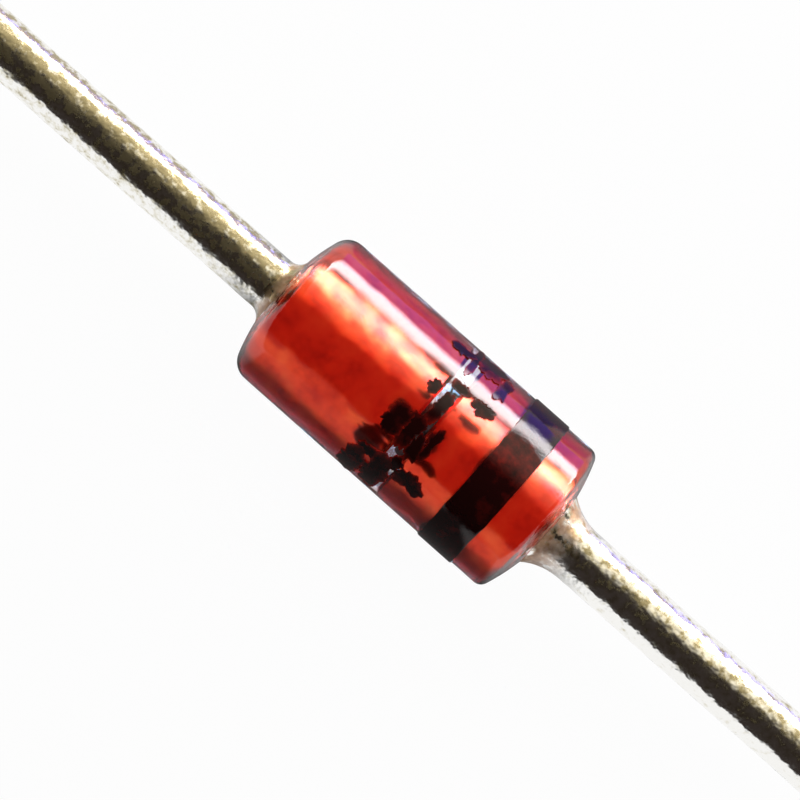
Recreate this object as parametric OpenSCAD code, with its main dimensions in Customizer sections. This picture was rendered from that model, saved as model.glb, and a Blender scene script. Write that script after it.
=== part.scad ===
// Zener diode in an axial glass envelope, with a painted cathode band and straight tinned leads.
// Sizes are in millimetres. The lead axis is X: the anode is at -X, the banded cathode at +X.
// The origin is on the lead axis, midway between the two cut lead ends.

/* [Glass envelope] */
// Outer diameter of the glass
glass_d = 2.45; // [2.2:0.05:2.7]
// Length of the glass, from the rim round one weld to the rim round the other
glass_len = 4.9; // [4.4:0.1:5.2]
// Radius of the fire-polished corner at the anode end
anode_corner = 0.3; // [0.1:0.01:0.4]
// Radius of the fire-polished corner at the cathode end
cathode_corner = 0.15; // [0.1:0.01:0.4]
// Radius of the shallow dome that each end is melted to
end_dome = 3.2; // [2.6:0.1:6]
// Glass that covers the outer face of each slug, measured at the rim
end_wall = 0.22; // [0.15:0.01:0.4]

/* [Slugs] */
// Diameter of the two slugs that the glass is fused to
slug_d = 1.6; // [1.4:0.02:1.7]
// Chamfer on the edges of the slugs
slug_chamfer = 0.05; // [0.02:0.01:0.1]

/* [Chip] */
// Side of the square silicon chip
chip_w = 0.94; // [0.5:0.02:0.98]
// Thickness of the chip
chip_t = 0.18; // [0.12:0.01:0.4]
// Diameter of the silver bump at its foot on the chip
bump_d = 0.46; // [0.3:0.02:0.5]
// Height of the bump, from the chip to the anode slug
bump_h = 0.06; // [0.04:0.01:0.14]
// Diameter of the spot where the bump is pressed flat against the anode slug
bump_flat_d = 0.26; // [0.1:0.02:0.28]
// Distance from the middle of the glass to the middle of the chip chamber, towards the cathode
chip_shift = 0.2; // [-0.4:0.05:0.4]

/* [Leads] */
// Diameter of the lead wire
lead_d = 0.84; // [0.7:0.01:0.86]
// Length of each lead with its flare, from the rim of the glass to the cut end
lead_len = 26; // [20:0.5:32]

/* [Welds] */
// Diameter of the weld knot where it passes through the end of the glass
weld_d = 1.22; // [1:0.02:1.3]
// Length of the weld's flare outside the glass at the anode
anode_flare = 0.2; // [0.16:0.02:0.8]
// Length of the weld's flare outside the glass at the cathode
cathode_flare = 0.56; // [0.2:0.02:0.8]

/* [Print] */
// Thickness of the ink
ink_t = 0.02; // [0.015:0.005:0.04]
// Width of the cathode band
band_w = 0.6; // [0.4:0.02:0.8]
// Distance from the middle of the glass to the middle of the band
band_pos = 1.44; // [1.2:0.02:1.5]
// Step of the grid that the printed patches keep to
mark_step = 0.05; // [0.04:0.005:0.06]
// Distance from the middle of the glass to the middle of the patches
mark_pos = 0.22; // [-0.8:0.02:0.3]
// Direction that the printed side faces, in degrees up from the horizontal front
mark_facing = 68; // [0:2:180]

/* [Hidden] */
$fn = 96;

glass_r = glass_d / 2;
slug_r = slug_d / 2;
lead_r = lead_d / 2;
weld_r = weld_d / 2;
rim = glass_len / 2;                               // plane where the glass ends round a weld
slug_out = rim - end_wall;                         // outer face of each slug
chamber = chip_t + bump_h;                         // gap between the inner faces of the slugs
anode_face = chip_shift - chamber / 2;             // inner face of the anode slug
cathode_face = chip_shift + chamber / 2;           // inner face of the cathode slug
chamber_r = slug_r - slug_chamfer;                 // the glass follows the slugs' chamfers
step_angle = mark_step / glass_r * 180 / PI;       // one step of the print, round the glass

// Printed patches in steps of the grid: middle round the glass, middle along it, width, length.
patches = [[-26, -9, 11, 5], [-23, -2, 13, 5], [-18, -7, 3, 4], [-17, 7, 4, 7], [-14, 1, 4, 3],
           [-8, 2, 7, 3], [-5, -7, 7, 5], [-5, -2, 9, 4], [-4, 5, 8, 2], [5, 0, 8, 3], [9, -5, 3, 3],
           [13, 1, 3, 4], [13, 9, 3, 5], [24, 10, 8, 3], [25, -6, 3, 6], [26, -1, 12, 2], [28, 4, 8, 7]];

// Turns a shape that stands on Z so that it lies along X.
module along_x() { rotate([0, 90, 0]) children(); }

// Turns a half profile, radius across and axis upwards, into a solid along X.
module lathe() { along_x() rotate_extrude() children(); }

// Half profile of one half of the envelope: barrel, rounded corner and dome, all tangent.
module end_profile(corner) {
    dome_y = rim - sqrt(pow(end_dome, 2) - pow(weld_r, 2));
    corner_x = glass_r - corner;
    corner_y = dome_y + sqrt(pow(end_dome - corner, 2) - pow(corner_x, 2));
    tangent_x = corner_x * end_dome / (end_dome - corner);
    square([glass_r, corner_y]);
    translate([corner_x, corner_y]) circle(corner);
    intersection() {
        translate([0, dome_y]) circle(end_dome);
        square([tangent_x, glass_len]);
    }
}

// Half profile of a slug between two faces, with both edges chamfered.
module slug_profile(low, high) {
    polygon([[0, low], [slug_r - slug_chamfer, low], [slug_r, low + slug_chamfer],
             [slug_r, high - slug_chamfer], [slug_r - slug_chamfer, high], [0, high]]);
}

// Half profile of a weld knot: straight through the glass, then a trumpet down to the lead.
module weld_profile(flare) {
    step = weld_r - lead_r;
    trumpet_r = (step * step + flare * flare) / (2 * step);
    difference() {
        translate([0, slug_out]) square([weld_r, end_wall + flare]);
        translate([lead_r + trumpet_r, rim + flare]) circle(trumpet_r);
    }
}

// Clear glass envelope, fused to both slugs and closed round the welds.
module glass_sleeve() {
    color("coral", 0.4) lathe() difference() {
        union() {
            end_profile(cathode_corner);
            mirror([0, 1]) end_profile(anode_corner);
        }
        slug_profile(-slug_out, anode_face);
        slug_profile(cathode_face, slug_out);
        translate([0, anode_face]) square([chamber_r, chamber]);
        translate([0, -glass_len]) square([weld_r, 2 * glass_len]);
    }
}

// Copper-clad slugs, red with oxide where the glass is fused to them.
module anode_slug() { color("orangered") lathe() slug_profile(-slug_out, anode_face); }

module cathode_slug() { color("orangered") lathe() slug_profile(cathode_face, slug_out); }

// Square chip, seated on the cathode slug.
module silicon_chip() {
    color("dimgray") translate([cathode_face - chip_t, -chip_w / 2, -chip_w / 2])
        cube([chip_t, chip_w, chip_w]);
}

// Silver bump that joins the chip to the anode slug, pressed flat where it meets the slug.
module silver_bump() {
    color("silver") translate([anode_face, 0, 0]) along_x()
        cylinder(h = bump_h, d1 = bump_flat_d, d2 = bump_d);
}

// Tinned wire, from the end of the weld to a plain cut end.
module lead(flare) {
    translate([rim + flare, 0, 0]) along_x() cylinder(h = lead_len - flare, r = lead_r);
}

module anode_lead() { color("lightgray") mirror([1, 0, 0]) lead(anode_flare); }

module cathode_lead() { color("lightgray") lead(cathode_flare); }

// Weld knots that join each lead to its slug.
module anode_weld() { color("peru") mirror([1, 0, 0]) lathe() weld_profile(anode_flare); }

module cathode_weld() { color("peru") lathe() weld_profile(cathode_flare); }

// Painted ring that marks the cathode end.
module cathode_band() {
    color("black") lathe() translate([glass_r, band_pos - band_w / 2]) square([ink_t, band_w]);
}

// One printed patch that lies on the glass. Up is the side towards the back.
module patch(up, along, width, length) {
    turn = -90 - mark_facing - up * step_angle;
    low = mark_pos + (along - length / 2) * mark_step;
    rotate([turn, 0, 0]) along_x() rotate([0, 0, -width * step_angle / 2])
        rotate_extrude(angle = width * step_angle)
            translate([glass_r, low]) square([ink_t, length * mark_step]);
}

// Plain patches of ink in place of lettering.
module ink_marks() {
    color("black") for (p = patches) patch(p[0], p[1], p[2], p[3]);
}

glass_sleeve();
anode_slug();
cathode_slug();
silicon_chip();
silver_bump();
anode_lead();
cathode_lead();
anode_weld();
cathode_weld();
cathode_band();
ink_marks();
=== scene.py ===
# %% [markdown]
# # A glass zener diode
#
# The real part is a small glass tube melted round two red metal slugs, with a chip of silicon held
# between them, a black band that marks the cathode, and a tinned wire welded to each slug.
# The CAD model gives the true sizes. This lesson gives every surface its finish.
# We load the CAD first and note its box, because nothing we add may grow past it.

# %% Load the frame
import math

import bmesh
import bpy
from mathutils import Matrix, Vector


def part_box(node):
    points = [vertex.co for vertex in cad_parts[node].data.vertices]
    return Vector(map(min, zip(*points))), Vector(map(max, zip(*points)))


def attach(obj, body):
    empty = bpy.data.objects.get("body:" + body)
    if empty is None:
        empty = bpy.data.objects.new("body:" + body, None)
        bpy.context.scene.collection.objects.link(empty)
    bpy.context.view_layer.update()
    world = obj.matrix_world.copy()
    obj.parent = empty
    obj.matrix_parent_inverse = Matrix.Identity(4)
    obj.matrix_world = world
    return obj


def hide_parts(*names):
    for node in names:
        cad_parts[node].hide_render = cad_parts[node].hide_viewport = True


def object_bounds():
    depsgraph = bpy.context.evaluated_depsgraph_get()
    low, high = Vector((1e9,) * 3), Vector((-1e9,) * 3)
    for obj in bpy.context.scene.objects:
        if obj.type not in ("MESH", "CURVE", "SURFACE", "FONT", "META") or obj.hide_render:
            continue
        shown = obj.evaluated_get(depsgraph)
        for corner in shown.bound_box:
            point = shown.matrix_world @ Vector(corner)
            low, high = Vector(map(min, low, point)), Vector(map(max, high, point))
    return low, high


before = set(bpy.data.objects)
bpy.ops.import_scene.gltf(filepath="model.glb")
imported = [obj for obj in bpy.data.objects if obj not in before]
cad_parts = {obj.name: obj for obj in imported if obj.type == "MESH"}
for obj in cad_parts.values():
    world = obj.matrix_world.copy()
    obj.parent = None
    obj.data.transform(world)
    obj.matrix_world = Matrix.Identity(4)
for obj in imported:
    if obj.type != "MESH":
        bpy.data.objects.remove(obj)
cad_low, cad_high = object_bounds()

MM = 0.001
print("CAD box in mm:", [round(v / MM, 3) for v in (*cad_low, *cad_high)])

# %% [markdown]
# ## Sizes from the frame
#
# Nearly every piece is round about the X axis, so its radius is the top of its box and its length runs
# along X. We could type these sizes again, but reading them from the CAD nodes keeps both models equal.

# %% Read radii and stations
def radius_of(node):
    """Radius of a round CAD node, from the top of its box."""
    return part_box(node)[1].z


def span_of(node):
    """First and last X of a CAD node."""
    low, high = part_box(node)
    return low.x, high.x


glass_r = radius_of("glass_sleeve")
slug_r = radius_of("anode_slug")
weld_r = radius_of("anode_weld")
lead_r = radius_of("anode_lead")
ink_r = radius_of("cathode_band")
rim = span_of("glass_sleeve")[1]
print(f"radii in mm: glass {glass_r / MM:.3f}, slug {slug_r / MM:.3f}, lead {lead_r / MM:.3f}")

# %% [markdown]
# ## Camera
#
# The photograph looks square on to the lead axis, from above the front, and the axis runs down to the
# right across the picture. A long lens keeps the two edges of the glass parallel, as they are there.
# We build the camera's own axes from the tilt, so that X falls across the picture at the right angle.

# %% Place the camera
PICTURE_PX = 800
GLASS_PX = 178.0
CENTRE_PX = (415.0, 411.0)
AXIS_TILT = math.radians(41.6)
LOOK_DOWN = math.radians(68.0)
LENS_MM = 200.0


def standing(place, right, up, back):
    """Matrix of something at a place that looks away from its back."""
    return Matrix.Translation(place) @ Matrix((right, up, back)).transposed().to_4x4()


metres_per_px = 2 * glass_r / GLASS_PX
back = Vector((0, -math.cos(LOOK_DOWN), math.sin(LOOK_DOWN)))
across = Vector((0, math.sin(LOOK_DOWN), math.cos(LOOK_DOWN)))
axis = Vector((1, 0, 0))
right = axis * math.cos(AXIS_TILT) + across * math.sin(AXIS_TILT)
up = across * math.cos(AXIS_TILT) - axis * math.sin(AXIS_TILT)
offset_px = (CENTRE_PX[0] - PICTURE_PX / 2, PICTURE_PX / 2 - CENTRE_PX[1])
aim = -(right * offset_px[0] + up * offset_px[1]) * metres_per_px

camera_data = bpy.data.cameras.new("camera")
camera_data.lens = LENS_MM
camera_data.clip_start = 1 * MM
distance = PICTURE_PX * metres_per_px * LENS_MM / camera_data.sensor_width
camera = bpy.data.objects.new("camera", camera_data)
bpy.context.scene.collection.objects.link(camera)
camera.matrix_world = standing(aim + back * distance, right, up, back)
bpy.context.scene.camera = camera
print(f"camera {distance / MM:.1f} mm away, picture {PICTURE_PX * metres_per_px / MM:.2f} mm wide")

# %% [markdown]
# ## Node helpers
#
# Shader trees and geometry trees are built the same way, so one helper adds a node, sets its
# properties, and fills or links its inputs. The finishes below stay short because of it.

# %% Add and fill nodes in any tree
def fill(tree, node, inputs):
    """Sets or links a node's inputs, by name or number."""
    for key, value in inputs.items():
        if isinstance(value, bpy.types.NodeSocket):
            tree.links.new(value, node.inputs[key])
        else:
            node.inputs[key].default_value = value
    return node


def put(tree, kind, inputs=None, **settings):
    """Adds a node, sets its properties, and fills its inputs."""
    node = tree.nodes.new(kind)
    for name, value in settings.items():
        setattr(node, name, value)
    return fill(tree, node, inputs or {})


def calc(tree, operation, first, second=0.0):
    """One Math node, as a socket."""
    return put(tree, "ShaderNodeMath", {0: first, 1: second}, operation=operation).outputs[0]


def split(tree, vector):
    """The X, Y and Z sockets of a vector."""
    return put(tree, "ShaderNodeSeparateXYZ", {0: vector}).outputs


def remap(tree, value, ends, new_ends=(0.0, 1.0)):
    """Maps one range to another and holds the value at both ends."""
    return put(tree, "ShaderNodeMapRange", {
        0: value, 1: ends[0], 2: ends[1], 3: new_ends[0], 4: new_ends[1]}).outputs[0]


def between(tree, value, low, high):
    """Maps 0..1 to low..high."""
    return remap(tree, value, (0.0, 1.0), (low, high))


def ramp(tree, value, *stops):
    """A colour ramp from (position, colour) stops."""
    node = put(tree, "ShaderNodeValToRGB", {0: value})
    while len(node.color_ramp.elements) < len(stops):
        node.color_ramp.elements.new(1.0)
    for element, (position, colour) in zip(node.color_ramp.elements, stops):
        element.position = position
        element.color = (*colour, 1)
    return node.outputs[0]


# %% [markdown]
# ## White paper
#
# The part lies on white paper. Enough lamp light to make paper white would drown the part, so the white
# is an emission that the Light Path node shows to camera rays, and other rays meet plain paper.
# Mirrors and glass show the paper too, each at its own level. The wires mirror it bright. Beside the body
# the mirrored paper is dim, a painted shade of the body, and blue far behind, which keeps the glass clear.
# Through the glass it is bright in front of the part and dark in a painted shade under it. The glossy flag
# is also set for a ray that came through smooth glass, so a mirrored ray is one that is glossy and not
# transmitted.

# %% Lay the floor
FLOOR_SIDE = 4.0

half = FLOOR_SIDE / 2
corners = [(-half, -half, 0), (half, -half, 0), (half, half, 0), (-half, half, 0)]
floor_mesh = bpy.data.meshes.new("floor")
floor_mesh.from_pydata(corners, [], [(0, 1, 2, 3)])
floor = bpy.data.objects.new("floor", floor_mesh)
bpy.context.scene.collection.objects.link(floor)
floor.location.z = cad_low.z
print(f"floor {-cad_low.z / MM:.3f} mm below the lead axis")

# %% Paper finish
PAPER = (0.85, 0.85, 0.86, 1)
WHITE = (1.0, 1.0, 1.0)
BLUE = (0.2, 0.3, 1.0)
CAMERA_GLOW = 0.97
WIRE_GLOW = 0.95
WIRE_FADE = (12.0 * MM, 24.0 * MM)
SHADED_BODY_GLOW = 0.12
BODY_REACH = (2.5 * MM, 3.5 * MM)
BLUE_GLOW = 0.66
BLUE_START = (2.0 * MM, 10.0 * MM)
THROUGH_GLOW = 0.62
SHADE_EDGE = (1.1 * MM, 1.9 * MM)


def paper_finish():
    """Paper with one brightness for the camera, one in mirrors and one through glass."""
    material = bpy.data.materials.new("floor_paper")
    material.use_nodes = True
    tree = material.node_tree
    tree.nodes.clear()
    rays = put(tree, "ShaderNodeLightPath").outputs
    spot = split(tree, put(tree, "ShaderNodeTexCoord").outputs["Object"])
    ahead = calc(tree, "MULTIPLY", spot["Y"], -1.0)
    behind = remap(tree, spot["Y"], BLUE_START)
    beside = remap(tree, calc(tree, "ABSOLUTE", spot["X"]), BODY_REACH, (1.0, 0.0))

    wire_glow = remap(tree, ahead, WIRE_FADE, (WIRE_GLOW, 0.0))
    # Painted shade: beside the body the mirrored paper drops to a low glow, as if the body shaded it.
    body_glow = between(tree, behind, SHADED_BODY_GLOW, BLUE_GLOW)
    mirrored_glow = between(tree, beside, wire_glow, body_glow)
    # Painted shadow: seen through the glass, the paper is dark close in front of and under the part.
    through_glow = remap(tree, ahead, SHADE_EDGE, (0.0, THROUGH_GLOW))

    bounced = calc(tree, "SUBTRACT", rays["Is Glossy Ray"], rays["Is Transmission Ray"])
    seen = calc(tree, "MULTIPLY", rays["Is Camera Ray"], CAMERA_GLOW)
    through = calc(tree, "MULTIPLY", rays["Is Transmission Ray"], through_glow)
    share = calc(tree, "MAXIMUM", seen, calc(tree, "MAXIMUM", bounced, through))
    bluish = calc(tree, "MULTIPLY", calc(tree, "MULTIPLY", behind, beside), bounced)

    paper = put(tree, "ShaderNodeBsdfDiffuse", {"Color": PAPER})
    shining = put(tree, "ShaderNodeEmission", {
        "Color": ramp(tree, bluish, (0.0, WHITE), (1.0, BLUE)),
        "Strength": between(tree, bounced, 1.0, mirrored_glow)})
    mixed = put(tree, "ShaderNodeMixShader", {0: share, 1: paper.outputs[0], 2: shining.outputs[0]})
    put(tree, "ShaderNodeOutputMaterial", {"Surface": mixed.outputs[0]})
    return material


floor_mesh.materials.append(paper_finish())
print("floor finish:", floor_mesh.materials[0].name)

# %% [markdown]
# ## Room and lamps
#
# Shiny things show their surroundings, so each lamp is here for one reflection. A strip high behind
# draws the long white line on the glass, a wide warm panel above lights the metal's upper side, and a
# low panel behind tints the far edge of the glass. It is blue in the middle and pale at its ends, where
# only the wires mirror it. The strip's glow and a red fill from the front are seen only through the
# glass, on the slugs, and a close panel lights only matt surfaces such as the paper.
# The room itself stays dim, because a shiny wire needs something dark to mirror. Most lamps fade towards
# their long edges, as a softbox does. A hard edge would draw a line on the metal.

# %% Light the room
ROOM = (0.032, 0.025, 0.022, 1)

world = bpy.data.worlds.new("room")
world.use_nodes = True
fill(world.node_tree, world.node_tree.nodes["Background"], {"Color": ROOM})
bpy.context.scene.world = world
bpy.context.scene.view_settings.view_transform = "Standard"
print("world:", world.name)

# %% Make a lamp
def lamp_face(tree):
    """X along a lamp and Y up it, both from 0 to 1."""
    return split(tree, put(tree, "ShaderNodeNewGeometry").outputs["Parametric"])


def soften(tree, soft):
    """Fades a lamp towards its long edges, over this share of its height."""
    height = lamp_face(tree)["Y"]
    inward = calc(tree, "MINIMUM", height, calc(tree, "SUBTRACT", 1.0, height))
    level = put(tree, "ShaderNodeMapRange", {0: inward, 2: soft}, interpolation_type="SMOOTHSTEP")
    fill(tree, tree.nodes["Emission"], {"Strength": level.outputs[0]})


def tint_along(tree, *stops):
    """Colours a lamp by the distance from its middle, as a share of its length."""
    aside = calc(tree, "ABSOLUTE", calc(tree, "SUBTRACT", lamp_face(tree)["X"], 0.5))
    fill(tree, tree.nodes["Emission"], {"Color": ramp(tree, aside, *stops)})


def lamp(name, bearings, away, length, radiance, colour, soft=0.0, hidden_from=()):
    """Area lamp that faces the part between two bearings: 0 in front, 90 above, 180 behind."""
    first, last = bearings
    turn = math.radians(first + last) / 2
    height = 2 * away * math.tan(math.radians(last - first) / 2)
    out = Vector((0, -math.cos(turn), math.sin(turn)))
    data = bpy.data.lights.new(name, "AREA")
    data.shape = "RECTANGLE"
    data.size = length
    data.size_y = height
    data.energy = 4 * radiance * length * height
    data.color = colour
    if soft:
        data.use_nodes = True
        soften(data.node_tree, soft)
    holder = bpy.data.objects.new(name, data)
    bpy.context.scene.collection.objects.link(holder)
    holder.matrix_world = standing(out * away, axis, out.cross(axis), out)
    for rays in ("camera", *hidden_from):
        setattr(holder, "visible_" + rays, False)
    return holder


# %% Hang the lamps
STRIP = {"away": 80 * MM, "length": 120 * MM}
PANEL = {"away": 200 * MM, "length": 500 * MM}
CLOSE = {"away": 20 * MM, "length": 60 * MM}
STRIP_WHITE = (1.0, 0.95, 0.97)
GLOW_COOL = (0.36, 0.64, 1.0)
WARM = (1.0, 0.93, 0.74)
FILL_RED = (1.0, 0.2, 0.14)
PANEL_BLUE = (0.22, 0.2, 1.0)
PANEL_PALE = (0.5, 0.5, 0.5)

lamp("strip_lamp", (134, 164), radiance=15.0, colour=STRIP_WHITE, soft=0.4,
     hidden_from=("diffuse", "transmission"), **STRIP)
lamp("strip_glow", (114, 167), radiance=18.0, colour=GLOW_COOL, soft=0.5,
     hidden_from=("diffuse", "glossy"), **STRIP)
lamp("top_panel", (80, 165), radiance=1.0, colour=WARM, soft=0.5, hidden_from=("diffuse",), **PANEL)
low_panel = lamp("low_panel", (150, 184), radiance=2.0, colour=WHITE, soft=0.2,
                 hidden_from=("diffuse", "transmission"), **PANEL)
tint_along(low_panel.data.node_tree, (0.07, PANEL_BLUE), (0.12, PANEL_PALE))
lamp("sky_panel", (95, 170), radiance=1.1, colour=WHITE, hidden_from=("glossy", "transmission"), **CLOSE)
lamp("front_fill", (0, 100), radiance=0.34, colour=FILL_RED, hidden_from=("glossy", "diffuse"), **PANEL)

# %% [markdown]
# ## A lathe in Geometry Nodes
#
# Glass, slugs, wires, welds and band are all turned shapes: one outline swung round the axis. The Screw
# modifier could do it, but a node tree can also dent the surface as it turns, and every piece shares it.
# The outline is a row of points with X along the axis and Z as the radius. A grid gets one row for
# each point and one column for each step round, and every corner is then moved to its place.

# %% Begin and end a geometry tree
SEAM = 1e-8


def new_tree(name, sockets):
    """A geometry tree with named inputs and one output, and the sockets that bring the inputs in."""
    tree = bpy.data.node_groups.new(name, "GeometryNodeTree")
    for socket, kind in sockets.items():
        tree.interface.new_socket(socket, in_out="INPUT", socket_type="NodeSocket" + kind)
    tree.interface.new_socket("Piece", in_out="OUTPUT", socket_type="NodeSocketGeometry")
    return tree, put(tree, "NodeGroupInput").outputs


def merged(tree, mesh):
    """Closes the seam where corners meet."""
    return put(tree, "GeometryNodeMergeByDistance", {"Geometry": mesh, "Distance": SEAM}).outputs[0]


def end_tree(tree, mesh, sharp_from, material):
    """Smooths the closed mesh, keeps its sharp edges, and gives it its material."""
    faces = put(tree, "GeometryNodeSetShadeSmooth", {
        "Geometry": merged(tree, mesh), "Shade Smooth": True}, domain="FACE")
    bend = put(tree, "GeometryNodeInputMeshEdgeAngle").outputs["Unsigned Angle"]
    sharp = put(tree, "FunctionNodeCompare", {0: bend, 1: sharp_from},
                data_type="FLOAT", operation="GREATER_THAN")
    edges = put(tree, "GeometryNodeSetShadeSmooth", {
        "Geometry": faces.outputs[0], "Selection": sharp.outputs[0], "Shade Smooth": False}, domain="EDGE")
    real = put(tree, "GeometryNodeRealizeInstances", {0: edges.outputs[0]})
    dressed = put(tree, "GeometryNodeSetMaterial", {"Geometry": real.outputs[0], "Material": material})
    put(tree, "NodeGroupOutput", {0: dressed.outputs[0]})


# %% Build the lathe tree
TURNED_SHARP = math.radians(32)
DRIFT_SEED = 7.0


def lathe_tree():
    """Turns an outline round X. Lumps only press inwards, and edges may wander along the axis."""
    tree, given = new_tree("turn_outline", {
        "Outline": "Geometry", "Segments": "Int", "Lump Size": "Float", "Lump Depth": "Float",
        "Edge Wander": "Float", "Seed": "Float", "Finish": "Material"})

    columns = calc(tree, "ADD", given["Segments"], 1)
    size = put(tree, "GeometryNodeAttributeDomainSize", {"Geometry": given["Outline"]})
    grid = put(tree, "GeometryNodeMeshGrid", {
        "Vertices X": size.outputs["Point Count"], "Vertices Y": columns})
    index = put(tree, "GeometryNodeInputIndex").outputs[0]
    row = calc(tree, "FLOOR", calc(tree, "DIVIDE", index, columns))
    column = calc(tree, "SUBTRACT", index, calc(tree, "MULTIPLY", row, columns))

    place = put(tree, "GeometryNodeInputPosition").outputs[0]
    picked = put(tree, "GeometryNodeSampleIndex", {
        "Geometry": given["Outline"], "Value": place, "Index": row}, data_type="FLOAT_VECTOR")
    point = split(tree, picked.outputs[0])
    angle = calc(tree, "MULTIPLY", calc(tree, "DIVIDE", column, given["Segments"]), 2 * math.pi)
    around = (calc(tree, "COSINE", angle), calc(tree, "SINE", angle))

    def on_circle(along, radius):
        sides = [calc(tree, "MULTIPLY", radius, part) for part in around]
        return put(tree, "ShaderNodeCombineXYZ", {0: along, 1: sides[0], 2: sides[1]}).outputs[0]

    smooth = on_circle(point["X"], point["Z"])
    scale = calc(tree, "DIVIDE", 1.0, given["Lump Size"])

    def noise(seed):
        return put(tree, "ShaderNodeTexNoise", {
            "Vector": smooth, "W": seed, "Scale": scale, "Detail": 2.0}, noise_dimensions="4D").outputs[0]

    lumps = calc(tree, "MULTIPLY", noise(given["Seed"]), given["Lump Depth"])
    radius = calc(tree, "MAXIMUM", calc(tree, "SUBTRACT", point["Z"], lumps), 0.0)
    drift = calc(tree, "SUBTRACT", noise(calc(tree, "ADD", given["Seed"], DRIFT_SEED)), 0.5)
    along = calc(tree, "ADD", point["X"], calc(tree, "MULTIPLY", drift, given["Edge Wander"]))
    moved = put(tree, "GeometryNodeSetPosition", {
        "Geometry": grid.outputs[0], "Position": on_circle(along, radius)})
    end_tree(tree, moved.outputs[0], TURNED_SHARP, given["Finish"])
    return tree


LATHE = lathe_tree()
print("lathe tree:", len(LATHE.nodes), "nodes")

# %% Run a tree and keep a plain mesh
def bake_tree(name, start_mesh, tree, values):
    """Evaluates a geometry tree once and returns a new object that holds only the result."""
    piece = bpy.data.objects.new(name, start_mesh)
    bpy.context.scene.collection.objects.link(piece)
    modifier = piece.modifiers.new("tree", "NODES")
    modifier.node_group = tree
    for item in tree.interface.items_tree:
        if item.in_out == "INPUT" and item.name in values:
            modifier[item.identifier] = values[item.name]
    evaluated = piece.evaluated_get(bpy.context.evaluated_depsgraph_get())
    made = bpy.data.meshes.new_from_object(evaluated)
    piece.modifiers.clear()
    piece.data = made
    made.name = name
    bpy.data.meshes.remove(start_mesh)
    return piece


def checked(piece):
    """Prints the piece's volume, which is positive when its faces point outwards."""
    shell = bmesh.new()
    shell.from_mesh(piece.data)
    volume = shell.calc_volume(signed=True) / MM ** 3
    loose = sum(1 for edge in shell.edges if not edge.is_manifold)
    shell.free()
    print(f"{piece.name}: {len(piece.data.polygons)} faces, {volume:.4f} mm3, {loose} open edges")
    return piece


def turned(name, outline, material, segments=96, lump_size=1.0, lump_depth=0.0, edge_wander=0.0, seed=0.0):
    """A turned piece. Its (axial, radial) points run from axis to axis, or in a loop for a ring."""
    area = sum(a[0] * b[1] - b[0] * a[1] for a, b in zip(outline, outline[1:] + outline[:1]))
    if area < 0:
        outline = outline[::-1]
    start = bpy.data.meshes.new(name + "_outline")
    start.from_pydata([(along, 0, radius) for along, radius in outline], [], [])
    return checked(bake_tree(name, start, LATHE, {
        "Segments": segments, "Lump Size": lump_size, "Lump Depth": lump_depth,
        "Edge Wander": edge_wander, "Seed": seed, "Finish": material}))


# %% [markdown]
# ## Outline helpers
#
# Outlines are short lists of points. Round stretches come from an arc, and long straight stretches are
# split into steps where the surface is dented, because a dent needs a corner near it to show.

# %% Arcs and steps
def arc(centre, radius, start, end, steps):
    """Points on a circle in the (axial, radial) plane, angles in degrees from +X."""
    turns = [math.radians(start + (end - start) * i / steps) for i in range(steps + 1)]
    return [(centre[0] + radius * math.cos(t), centre[1] + radius * math.sin(t)) for t in turns]


def steps_between(first, last, pitch):
    """Points on a straight line, about one pitch apart, with both ends."""
    count = max(1, round(math.dist(first, last) / pitch))
    return [tuple(a + (b - a) * i / count for a, b in zip(first, last)) for i in range(count + 1)]


def mirrored(outline):
    """The same outline on the anode's side."""
    return [(-along, radius) for along, radius in outline]


# %% [markdown]
# ## Finishes
#
# Each finish is one Principled shader with noise behind its colour, roughness and bump. Pictures could
# do the same, but noise has no seams and stays sharp up close. Object coordinates are metres here, so
# a noise scale is one over the size of the feature.

# %% Helpers for finishes
def finish(name):
    """A new material: its tree, its shader and a socket with object coordinates."""
    material = bpy.data.materials.new(name)
    material.use_nodes = True
    tree = material.node_tree
    place = put(tree, "ShaderNodeTexCoord").outputs["Object"]
    print("finish:", name)
    return material, tree, tree.nodes["Principled BSDF"], place


def grain(tree, place, size, detail=3.0, roughness=0.55):
    """Noise with features of about this size in metres, from 0 to 1."""
    return put(tree, "ShaderNodeTexNoise", {
        "Vector": place, "Scale": 1 / size, "Detail": detail, "Roughness": roughness}).outputs[0]


def relief(tree, shader, height, depth):
    """Bump on the shader's normal, depth in metres."""
    bump = put(tree, "ShaderNodeBump", {"Height": height, "Distance": depth, "Strength": 1.0})
    fill(tree, shader, {"Normal": bump.outputs[0]})


# %% [markdown]
# ## Clear glass
#
# The envelope is fire-polished, so it is smooth but never quite true: slow waves bend its reflections,
# and the wall of the little chamber round the chip is rippled. Light from a lamp can't find its way
# through bending glass in a path tracer, so rays to lamps meet a plain transparent shader instead. It is
# dark, because the camera's own rays already find most of the lamps' reflections through the glass.

# %% Glass finish
GLASS_TINT = (1.0, 0.985, 0.975, 1)
GLASS_IOR = 1.51
LAMP_SHARE = (0.2, 0.15, 0.15, 1)
HAZE_SIZE = 0.35 * MM
WAVE_SIZE = 0.9 * MM
WAVE_DEPTH = 0.02 * MM
RIPPLE_SIZE = 0.3 * MM
RIPPLE_DEPTH = 0.07 * MM


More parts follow.
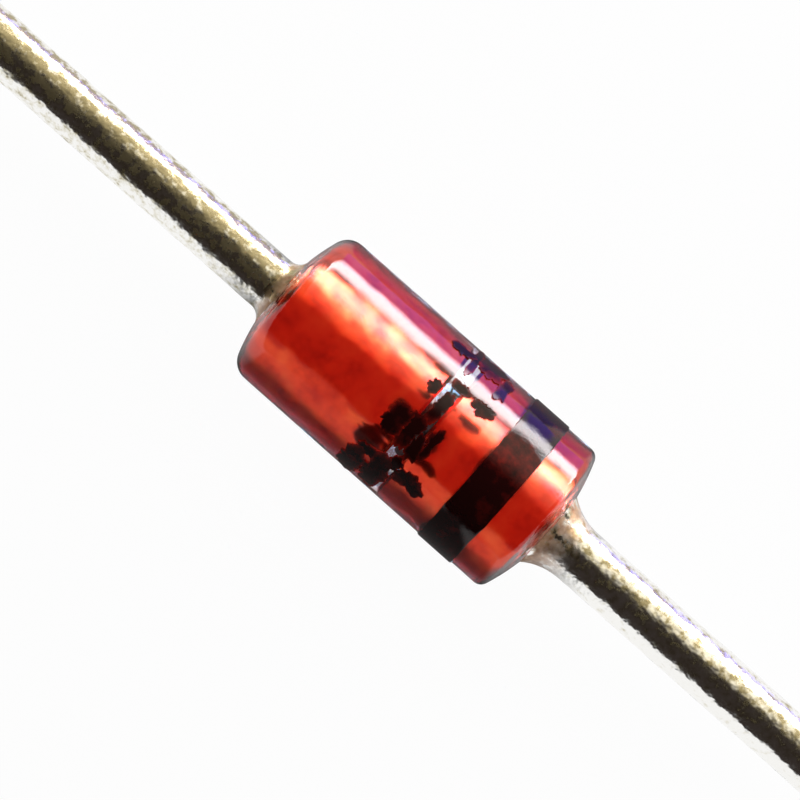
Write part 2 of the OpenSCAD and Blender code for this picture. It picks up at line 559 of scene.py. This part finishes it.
def glass_finish():
    """Clear glass, with waves all over and ripples on its inner wall."""
    material, tree, shader, place = finish("envelope_glass")
    spot = split(tree, place)
    squares = [calc(tree, "MULTIPLY", spot[side], spot[side]) for side in ("Y", "Z")]
    radius = calc(tree, "SQRT", calc(tree, "ADD", *squares))
    inside = calc(tree, "LESS_THAN", radius, (slug_r + glass_r) / 2)
    waves = calc(tree, "MULTIPLY", grain(tree, place, WAVE_SIZE, detail=2.0), WAVE_DEPTH)
    ripples = calc(tree, "MULTIPLY", grain(tree, place, RIPPLE_SIZE, detail=1.0), RIPPLE_DEPTH)
    relief(tree, shader, calc(tree, "ADD", waves, calc(tree, "MULTIPLY", ripples, inside)), 1.0)
    haze = grain(tree, place, HAZE_SIZE)
    fill(tree, shader, {
        "Base Color": GLASS_TINT, "Transmission Weight": 1.0, "IOR": GLASS_IOR,
        "Roughness": between(tree, haze, 0.0, 0.05)})
    lamps_pass = put(tree, "ShaderNodeBsdfTransparent", {"Color": LAMP_SHARE})
    to_lamp = put(tree, "ShaderNodeLightPath").outputs["Is Shadow Ray"]
    both = put(tree, "ShaderNodeMixShader", {0: to_lamp, 1: shader.outputs[0], 2: lamps_pass.outputs[0]})
    fill(tree, tree.nodes["Material Output"], {"Surface": both.outputs[0]})
    return material


GLASS = glass_finish()

# %% [markdown]
# ## Glass envelope
#
# The sleeve was melted on to the slugs, so its bore follows them and its ends close over them in a
# shallow dome with a rounded corner. The outline is the CAD's. Where glass and metal are fused, the
# bore sits a few microns inside the metal, so the renderer finds one surface there and not two.

# %% Turn the envelope
END_DOME = 3.2 * MM
ANODE_CORNER = 0.30 * MM
CATHODE_CORNER = 0.15 * MM
SLUG_CHAMFER = 0.05 * MM
FUSED = 0.004 * MM
END_STEPS = 14
BARREL_PITCH = 0.1 * MM
SWELL_SIZE = 1.4 * MM
SWELL_DEPTH = 0.006 * MM
slug_out = span_of("cathode_slug")[1]
cathode_face = span_of("cathode_slug")[0]
anode_face = span_of("anode_slug")[1]


def end_outline(corner):
    """The cathode-side end, from the rim out to the barrel."""
    dome_x = rim - math.sqrt(END_DOME ** 2 - weld_r ** 2)
    corner_r = glass_r - corner
    corner_x = dome_x + math.sqrt((END_DOME - corner) ** 2 - corner_r ** 2)
    meet = math.degrees(math.atan2(corner_r, corner_x - dome_x))
    start = math.degrees(math.asin(weld_r / END_DOME))
    dome = arc((dome_x, 0), END_DOME, start, meet, END_STEPS)
    return dome + arc((corner_x, corner_r), corner, meet, 90, END_STEPS)[1:]


def bore_outline(face):
    """The cathode-side half of the bore, from the rim to the slug's inner face."""
    hole = weld_r - FUSED
    wall = slug_r - FUSED
    chamber_r = slug_r - SLUG_CHAMFER
    return [(rim, hole), (slug_out - FUSED, hole), (slug_out - FUSED, chamber_r),
            (slug_out - SLUG_CHAMFER, wall), (face + SLUG_CHAMFER, wall), (face + FUSED, chamber_r)]


cathode_end = end_outline(CATHODE_CORNER)
anode_end = mirrored(end_outline(ANODE_CORNER))
barrel = steps_between(cathode_end[-1], anode_end[-1], BARREL_PITCH)
bore = mirrored(bore_outline(-anode_face)) + bore_outline(cathode_face)[::-1]
envelope = cathode_end + barrel[1:-1] + anode_end[::-1] + bore
glass = turned("glass_envelope", envelope + envelope[:1], GLASS, segments=192,
               lump_size=SWELL_SIZE, lump_depth=SWELL_DEPTH)

# %% [markdown]
# ## Slugs
#
# The slugs are copper-clad plugs. Their oxide turns orange-red under the hot glass, a little uneven
# and satin. The glass magnifies them until the red fills the whole width of the tube. A cylinder with a
# bevel would do. The lathe is used again because the bore of the glass follows the same chamfers.
# A metal's colour turns white at its edge, which oxide doesn't, so the Specular Tint keeps it dark there.

# %% Slug finish
OXIDE_DARK = (0.62, 0.017, 0.004)
OXIDE_RED = (0.86, 0.054, 0.013)
OXIDE_PALE = (0.94, 0.105, 0.026)
OXIDE_EDGE = (0.25, 0.1, 0.1, 1)
CLOUD_SIZE = 0.4 * MM
SATIN_SIZE = 0.06 * MM
DENT_SIZE = 0.9 * MM
DENT_DEPTH = 0.08 * MM


def slug_finish():
    """Cloudy red oxide, satin, under a thin coat."""
    material, tree, shader, place = finish("slug_oxide")
    cloud = grain(tree, place, CLOUD_SIZE, detail=4.0)
    satin = grain(tree, place, SATIN_SIZE)
    fill(tree, shader, {
        "Base Color": ramp(tree, cloud, (0.3, OXIDE_DARK), (0.5, OXIDE_RED), (0.7, OXIDE_PALE)),
        "Roughness": between(tree, satin, 0.13, 0.22), "Metallic": 0.95, "IOR": 1.8,
        "Specular Tint": OXIDE_EDGE, "Coat Weight": 0.4, "Coat Roughness": 0.1})
    relief(tree, shader, grain(tree, place, DENT_SIZE, detail=2.0), DENT_DEPTH)
    return material


OXIDE = slug_finish()

# %% Turn the slugs
def slug_outline(node):
    """A plug with both edges chamfered."""
    low, high = span_of(node)
    inner = slug_r - SLUG_CHAMFER
    return [(high, 0), (high, inner), (high - SLUG_CHAMFER, slug_r),
            (low + SLUG_CHAMFER, slug_r), (low, inner), (low, 0)]


anode_slug = turned("anode_slug_plug", slug_outline("anode_slug"), OXIDE, segments=128)
cathode_slug = turned("cathode_slug_plug", slug_outline("cathode_slug"), OXIDE, segments=128)

# %% [markdown]
# ## Leads and welds
#
# The wires are dipped in tin, which freezes in low lumps and tarnishes to olive in patches, most on the
# anode wire. Below its top band the tin is also painted cleaner, brighter and more mirror-like, a painted
# sheen on the wire's lower sides. A weld knot joins each wire to its slug, and matt copper shows on it in
# patches.
# A Displace modifier could make the lumps, but it pushes both ways. The lathe's dents only press inwards,
# so the wire keeps its true size, and wire and weld share one noise, so the lumps run on between them.

# %% Tin finish
TIN_OLIVE = (0.40, 0.34, 0.19)
TIN_DULL = (0.82, 0.79, 0.69)
TIN_BRIGHT = (0.97, 0.96, 0.93)
STAIN_SIZE = 0.13 * MM
BEAD_SIZE = 0.2 * MM
BEAD_DEPTH = 0.02 * MM
PAINTED_SHEEN_FADE = (0.5 * lead_r, 0.85 * lead_r)
PAINTED_SHEEN_SHIFT = (0.25, 0.0)
AGE_SHIFT = (-0.15, -0.03)


def tin_skin(name):
    """Lumpy tin: the material's parts, its tarnish with a painted sheen below the top, and its colour."""
    material, tree, shader, place = finish(name)
    spot = split(tree, place)
    # Painted sheen: below the wire's top band the tin is made cleaner, brighter and more mirror-like; only
    # the top keeps its full tarnish.
    painted_sheen = remap(tree, spot["Z"], PAINTED_SHEEN_FADE, PAINTED_SHEEN_SHIFT)
    aged = remap(tree, spot["X"], (-rim, rim), AGE_SHIFT)
    tarnish_and_sheen = calc(tree, "ADD", grain(tree, place, STAIN_SIZE, detail=3.0, roughness=0.6), painted_sheen)
    tarnish_and_sheen = calc(tree, "ADD", tarnish_and_sheen, aged)
    colour = ramp(tree, tarnish_and_sheen, (0.37, TIN_OLIVE), (0.51, TIN_DULL), (0.65, TIN_BRIGHT))
    relief(tree, shader, grain(tree, place, BEAD_SIZE, detail=2.0), BEAD_DEPTH)
    return material, tree, shader, place, tarnish_and_sheen, colour


def tin_finish():
    """Tin that is less metallic and rougher where it is tarnished, and along its top, where no painted
    sheen lifts it.
    """
    material, tree, shader, place, tarnish_and_sheen, colour = tin_skin("tinned_wire")
    fill(tree, shader, {
        "Base Color": colour, "Metallic": remap(tree, tarnish_and_sheen, (0.36, 0.44), (0.7, 1.0)),
        "Roughness": between(tree, tarnish_and_sheen, 0.3, 0.1)})
    return material


TIN = tin_finish()

# %% Weld finish
COPPER_DARK = (0.38, 0.15, 0.06)
COPPER_PALE = (0.78, 0.50, 0.30)
COPPER_SIZE = 0.1 * MM
BARE_SIZE = 0.25 * MM


def weld_finish():
    """Tin with copper bare in patches next to the glass, which fade before the wire begins."""
    material, tree, shader, place, tarnish_and_sheen, tin = tin_skin("weld_metal")
    along = split(tree, place)["X"]
    fades = []
    for node, side in (("anode_weld", -1), ("cathode_weld", 1)):
        far = max(side * x for x in span_of(node))
        fades.append(remap(tree, calc(tree, "MULTIPLY", along, side), (rim, far), (1.0, 0.0)))
    patchy = remap(tree, grain(tree, place, BARE_SIZE), (0.38, 0.5))
    bare = calc(tree, "MULTIPLY", calc(tree, "MINIMUM", *fades), patchy)
    copper = ramp(tree, grain(tree, place, COPPER_SIZE), (0.3, COPPER_DARK), (0.7, COPPER_PALE))
    both = put(tree, "ShaderNodeMix", {0: bare, 6: tin, 7: copper}, data_type="RGBA")
    fill(tree, shader, {
        "Base Color": both.outputs[2], "Metallic": between(tree, bare, 1.0, 0.2),
        "Roughness": between(tree, bare, 0.2, 0.5)})
    return material


WELD = weld_finish()

# %% Turn the leads and welds
LEAD_PITCH = 0.07 * MM
CUT_BEVEL = 0.03 * MM
FLARE_STEPS = 12
LUMPS = {"segments": 64, "lump_size": 0.26 * MM, "lump_depth": 0.02 * MM, "seed": 3.0}


def lead_outline(node):
    """A wire on the cathode's side, from its cut end to the weld."""
    near, far = sorted(abs(x) for x in span_of(node))
    wall = steps_between((far - CUT_BEVEL, lead_r), (near, lead_r), LEAD_PITCH)
    return [(far, 0), (far, lead_r - CUT_BEVEL)] + wall + [(near, 0)]


def weld_outline(node):
    """A knot on the cathode's side: a trumpet from the wire to the rim, then straight to the slug."""
    far = max(abs(x) for x in span_of(node))
    flare = far - rim
    step = weld_r - lead_r
    trumpet = (step ** 2 + flare ** 2) / (2 * step)
    sweep = math.degrees(math.asin(flare / trumpet))
    curve = arc((far, lead_r + trumpet), trumpet, 270, 270 - sweep, FLARE_STEPS)
    return [(far, 0)] + curve + [(slug_out, weld_r), (slug_out, 0)]


anode_lead = turned("anode_wire", mirrored(lead_outline("anode_lead")), TIN, **LUMPS)
cathode_lead = turned("cathode_wire", lead_outline("cathode_lead"), TIN, **LUMPS)
anode_weld = turned("anode_knot", mirrored(weld_outline("anode_weld")), WELD, **LUMPS)
cathode_weld = turned("cathode_knot", weld_outline("cathode_weld"), WELD, **LUMPS)

# %% [markdown]
# ## Printed ink
#
# The band is rolled on in black ink. Colour on the glass could stand for it, but ink has a thickness that
# catches the light, so the band is a thin ring of its own. Ink looks brown where it is thin, in worn spots
# and at the border of each printed patch. Along the top of the band the ink is also painted red-brown,
# which is painted light where the lamps fall and not wear. The height and an attribute named edge bring
# that out here.

# %% Ink finish
INK_BLACK = (0.026, 0.0025, 0.0025)
INK_THIN = (0.1, 0.005, 0.004)
INK_WORN_AND_LIT = (0.34, 0.012, 0.006)
WEAR_SIZE = 0.3 * MM
WEAR_DEPTH = 0.006 * MM
LIT_TOP_FROM = 0.93 * ink_r
LIT_TOP_SHARE = 0.24
BORDER_THIN = 0.3
BAND_MARGIN = 0.1 * MM


def ink_finish():
    """Glossy black ink, brown where it is worn and at patch borders, with painted light along the top of
    the band.
    """
    material, tree, shader, place = finish("print_ink")
    spot = split(tree, place)
    on_band = calc(tree, "GREATER_THAN", spot["X"], span_of("cathode_band")[0] - BAND_MARGIN)
    # Painted light: the ink turns red-brown towards the top of the band, where the lamps fall.
    painted_lit_top = calc(tree, "MULTIPLY", remap(tree, spot["Z"], (LIT_TOP_FROM, ink_r), (0.0, LIT_TOP_SHARE)), on_band)
    edge = put(tree, "ShaderNodeAttribute", attribute_name="edge").outputs["Fac"]
    thin = calc(tree, "MULTIPLY", calc(tree, "POWER", edge, 3.0), BORDER_THIN)
    wear_and_lit_top = grain(tree, place, WEAR_SIZE, detail=6.0, roughness=0.6)
    wear_and_lit_top = calc(tree, "ADD", calc(tree, "ADD", wear_and_lit_top, painted_lit_top), thin)
    fill(tree, shader, {
        "Base Color": ramp(tree, wear_and_lit_top, (0.54, INK_BLACK), (0.68, INK_THIN), (0.86, INK_WORN_AND_LIT)),
        "Roughness": between(tree, wear_and_lit_top, 0.03, 0.12), "Specular IOR Level": 0.36})
    relief(tree, shader, wear_and_lit_top, WEAR_DEPTH)
    return material


INK = ink_finish()

# %% Roll the band on
INK_SUNK = 0.01 * MM
BAND_SOFT = 0.02 * MM
BAND_WANDER = 0.06 * MM
BAND_WAVE = 0.35 * MM


def band_outline():
    """A thin ring with its foot in the glass and softened shoulders."""
    low, high = span_of("cathode_band")
    foot = glass_r - INK_SUNK
    shoulder = (glass_r + ink_r) / 2
    return [(low, foot), (high, foot), (high, shoulder), (high - BAND_SOFT, ink_r),
            (low + BAND_SOFT, ink_r), (low, shoulder)]


band_ring = band_outline()
band = turned("cathode_stripe", band_ring + band_ring[:1], INK, segments=192,
              lump_size=BAND_WAVE, edge_wander=BAND_WANDER, seed=11.0)

# %% [markdown]
# ## Printed patches
#
# The patches are ink stamped on a curved wall. Each could be drawn by hand, but the CAD already says
# where they are, so we measure its patches and hand them to a tree as points that carry numbers.
# Each patch has a layer of its own, a little thinner than the last, so that two patches that overlap
# never share one surface.

# %% Measure the patches
LAYER_STEP = 0.02
SAME_CORNER = 1e-7


def islands(shell):
    """The corners of each separate solid in a mesh."""
    for first in shell.verts:
        if first.tag:
            continue
        first.tag = True
        island = [first]
        for vert in island:
            for edge in vert.link_edges:
                other = edge.other_vert(vert)
                if not other.tag:
                    other.tag = True
                    island.append(other)
        yield island


def printed_patches(node):
    """Turn from the front over the top, half sweep, middle, length and layer of each patch."""
    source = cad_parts[node]
    shell = bmesh.new()
    shell.from_mesh(source.data)
    bmesh.ops.remove_doubles(shell, verts=shell.verts, dist=SAME_CORNER)
    found = []
    for island in islands(shell):
        spots = [source.matrix_world @ vert.co for vert in island]
        heart = sum(spots, Vector()) / len(spots)
        turn = math.atan2(heart.z, -heart.y)
        sideways = Vector((0, math.sin(turn), math.cos(turn)))
        sweep = 2 * math.asin(max(spot.dot(sideways) / math.hypot(spot.y, spot.z) for spot in spots))
        low = min(spot.x for spot in spots)
        high = max(spot.x for spot in spots)
        found.append({"turn": turn, "sweep": sweep, "middle": (low + high) / 2,
                      "length": high - low, "layer": 1 - LAYER_STEP * len(found)})
    shell.free()
    return found


patches = printed_patches("ink_marks")
print("patches:", [(round(math.degrees(p["turn"])), round(p["length"] / MM, 2)) for p in patches])

# %% [markdown]
# ## A tree that prints
#
# Wet ink spreads and frays at its border. The tree lays a fan of rays on each point, rounds its outline,
# and lets noise pull every ray's end in or out. A corner only moves along its own ray, so the border can
# fray and never folds. The fan is then bent round the glass and lifted straight out from the axis.

# %% Lay the fans
PATCH_RAYS = 128
PATCH_RINGS = 6


def field(tree, name):
    """A number that a patch's point carries."""
    return put(tree, "GeometryNodeInputNamedAttribute", {"Name": name}, data_type="FLOAT").outputs[0]


def corner_place(tree):
    """X, Y and Z of each corner."""
    return split(tree, put(tree, "GeometryNodeInputPosition").outputs[0])


def ink_fans(tree, places):
    """A flat grid on each point, with rays along X and rings along Y, and how far out each ring is."""
    sheet = put(tree, "GeometryNodeMeshGrid", {
        "Size X": 2 * math.pi, "Size Y": 1.0, "Vertices X": PATCH_RAYS + 1, "Vertices Y": PATCH_RINGS + 1})
    placed = put(tree, "GeometryNodeInstanceOnPoints", {"Points": places, "Instance": sheet.outputs[0]})
    real = put(tree, "GeometryNodeRealizeInstances", {0: placed.outputs[0]})
    out = calc(tree, "ADD", corner_place(tree)["Y"], 0.5)
    fans = put(tree, "GeometryNodeStoreNamedAttribute", {
        "Geometry": real.outputs[0], "Name": "edge", "Value": out}, data_type="FLOAT", domain="POINT")
    return fans.outputs[0], out


# %% Shape and fray their borders
FRAY_IN = -0.45
FRAY_OUT = 0.9


def fan_border(tree, given):
    """Where a corner's ray meets the patch's rounded outline: along and up from its middle."""
    angle = calc(tree, "MULTIPLY", corner_place(tree)["X"], -1.0)
    ray = [calc(tree, "COSINE", angle), calc(tree, "SINE", angle)]
    widest = calc(tree, "MAXIMUM", *[calc(tree, "ABSOLUTE", part) for part in ray])
    square = [calc(tree, "DIVIDE", part, widest) for part in ray]

    def rounded(one, other):
        pinch = calc(tree, "MULTIPLY", calc(tree, "MULTIPLY", other, other), given["Rounding"])
        return calc(tree, "MULTIPLY", one, calc(tree, "SQRT", calc(tree, "SUBTRACT", 1.0, pinch)))

    half_length = calc(tree, "MULTIPLY", field(tree, "length"), given["Spread"])
    half_sweep = calc(tree, "MULTIPLY", field(tree, "sweep"), given["Spread"])
    half_width = calc(tree, "MULTIPLY", half_sweep, given["Glass Radius"])
    return (calc(tree, "MULTIPLY", rounded(square[0], square[1]), half_length),
            calc(tree, "MULTIPLY", rounded(square[1], square[0]), half_width))


def frayed(tree, given, middle, border, out):
    """Each corner's place along and up the unrolled glass, with its ray's end pulled by noise."""
    ends = [calc(tree, "ADD", *pair) for pair in zip(middle, border)]
    noise = put(tree, "ShaderNodeTexNoise", {
        "Vector": put(tree, "ShaderNodeCombineXYZ", {0: ends[0], 1: ends[1]}).outputs[0],
        "W": given["Seed"], "Scale": calc(tree, "DIVIDE", 1.0, given["Fray Size"]),
        "Detail": 5.0, "Roughness": 0.62}, noise_dimensions="4D").outputs[0]
    shift = calc(tree, "MULTIPLY", calc(tree, "SUBTRACT", noise, 0.5), given["Fray"])
    squares = [calc(tree, "MULTIPLY", part, part) for part in border]
    reach = calc(tree, "SQRT", calc(tree, "ADD", *squares))
    pull = put(tree, "ShaderNodeClamp", {
        "Value": calc(tree, "DIVIDE", shift, reach), "Min": FRAY_IN, "Max": FRAY_OUT}).outputs[0]
    share = calc(tree, "MULTIPLY", out, calc(tree, "ADD", 1.0, calc(tree, "MULTIPLY", pull, out)))
    return [calc(tree, "ADD", start, calc(tree, "MULTIPLY", part, share))
            for start, part in zip(middle, border)]


# %% Bend them round the glass
def bent(tree, given, along, up):
    """A place on the glass, just under its surface."""
    angle = calc(tree, "DIVIDE", up, given["Glass Radius"])
    foot = calc(tree, "SUBTRACT", given["Glass Radius"], given["Sunk"])
    front = calc(tree, "MULTIPLY", calc(tree, "MULTIPLY", calc(tree, "COSINE", angle), foot), -1.0)
    height = calc(tree, "MULTIPLY", calc(tree, "SINE", angle), foot)
    return put(tree, "ShaderNodeCombineXYZ", {0: along, 1: front, 2: height}).outputs[0]


def thickened(tree, given, under):
    """A closed skin: the sheet turned over, its copy lifted from the axis, and a wall between them."""
    height = calc(tree, "MULTIPLY", given["Thickness"], field(tree, "layer"))
    lift = calc(tree, "ADD", given["Sunk"], height)
    spot = corner_place(tree)
    outward = put(tree, "ShaderNodeCombineXYZ", {1: spot["Y"], 2: spot["Z"]}).outputs[0]
    outward = put(tree, "ShaderNodeVectorMath", {0: outward}, operation="NORMALIZE").outputs[0]
    over = put(tree, "GeometryNodeExtrudeMesh", {
        "Mesh": under, "Offset": outward, "Offset Scale": lift, "Individual": False}, mode="FACES")
    joined = put(tree, "GeometryNodeJoinGeometry", {0: over.outputs["Mesh"]})
    fill(tree, joined, {0: put(tree, "GeometryNodeFlipFaces", {0: under}).outputs[0]})
    return joined.outputs[0]


# %% Build the print tree
PRINT_SHARP = math.radians(40)


def print_tree():
    """Bends a rounded, frayed sheet of ink round the glass for each point."""
    tree, given = new_tree("print_patches", {
        "Places": "Geometry", "Glass Radius": "Float", "Sunk": "Float", "Thickness": "Float",
        "Spread": "Float", "Rounding": "Float", "Fray": "Float", "Fray Size": "Float",
        "Seed": "Float", "Finish": "Material"})
    fans, out = ink_fans(tree, given["Places"])
    middle = (field(tree, "middle"), calc(tree, "MULTIPLY", field(tree, "turn"), given["Glass Radius"]))
    along, up = frayed(tree, given, middle, fan_border(tree, given), out)
    under = put(tree, "GeometryNodeSetPosition", {
        "Geometry": fans, "Position": bent(tree, given, along, up)}).outputs[0]
    end_tree(tree, thickened(tree, given, merged(tree, under)), PRINT_SHARP, given["Finish"])
    return tree


PRINT = print_tree()
print("print tree:", len(PRINT.nodes), "nodes")

# %% Print them
def patch_points():
    """One point for each patch, with its numbers as attributes."""
    points = bpy.data.meshes.new("patch_points")
    points.from_pydata([(0, 0, 0)] * len(patches), [], [])
    for name in patches[0]:
        values = points.attributes.new(name, "FLOAT", "POINT")
        values.data.foreach_set("value", [patch[name] for patch in patches])
    return points


marks = bake_tree("printed_patches", patch_points(), PRINT, {
    "Glass Radius": glass_r, "Sunk": INK_SUNK, "Thickness": ink_r - glass_r, "Spread": 0.66,
    "Rounding": 0.35, "Fray": 0.45 * MM, "Fray Size": 0.16 * MM, "Seed": 9.0, "Finish": INK})
for name in patches[0]:
    marks.data.attributes.remove(marks.data.attributes[name])
checked(marks)

# %% [markdown]
# ## Chip and bump
#
# The chip can be seen through the gap between the slugs. It is sawn silicon, dark and a little glossy,
# and the bump on it is plated silver. They could be built again, but the CAD's own solids already have
# the right shape, so they only get a finish.

# %% Finish the chip and the bump
SAWN_DARK = (0.008, 0.007, 0.008)
SAWN_PALE = (0.022, 0.018, 0.02)
SAW_SIZE = 0.03 * MM
SAW_DEPTH = 0.002 * MM
SILVER_DULL = (0.70, 0.69, 0.66)
SILVER_BRIGHT = (0.9, 0.89, 0.86)
PLATING_SIZE = 0.02 * MM


def silicon_finish():
    """Dark silicon with fine saw marks."""
    material, tree, shader, place = finish("chip_silicon")
    saw = grain(tree, place, SAW_SIZE, detail=4.0)
    fill(tree, shader, {
        "Base Color": ramp(tree, saw, (0.3, SAWN_DARK), (0.7, SAWN_PALE)),
        "Roughness": between(tree, saw, 0.25, 0.45)})
    relief(tree, shader, saw, SAW_DEPTH)
    return material


def silver_finish():
    """Satin plated silver."""
    material, tree, shader, place = finish("bump_silver")
    plating = grain(tree, place, PLATING_SIZE)
    fill(tree, shader, {
        "Base Color": ramp(tree, plating, (0.3, SILVER_DULL), (0.7, SILVER_BRIGHT)),
        "Metallic": 1.0, "Roughness": between(tree, plating, 0.2, 0.4)})
    return material


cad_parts["silicon_chip"].material_slots[0].material = silicon_finish()
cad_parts["silver_bump"].material_slots[0].material = silver_finish()

# %% [markdown]
# ## Hand the pieces over
#
# Nothing moves on a diode, so every piece rides on the root. Each replaces the CAD solid of the same form,
# which is hidden.

# %% Ride and replace
ROOT = "root"
stands_for = ((glass, "glass_sleeve", "envelope_glass"), (anode_slug, "anode_slug", "slug_oxide"),
              (cathode_slug, "cathode_slug", "slug_oxide"), (anode_lead, "anode_lead", "tinned_wire"),
              (cathode_lead, "cathode_lead", "tinned_wire"), (anode_weld, "anode_weld", "weld_metal"),
              (cathode_weld, "cathode_weld", "weld_metal"), (band, "cathode_band", "print_ink"),
              (marks, "ink_marks", "print_ink"))
for piece, node, slot in stands_for:
    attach(piece, ROOT)
    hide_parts(node)
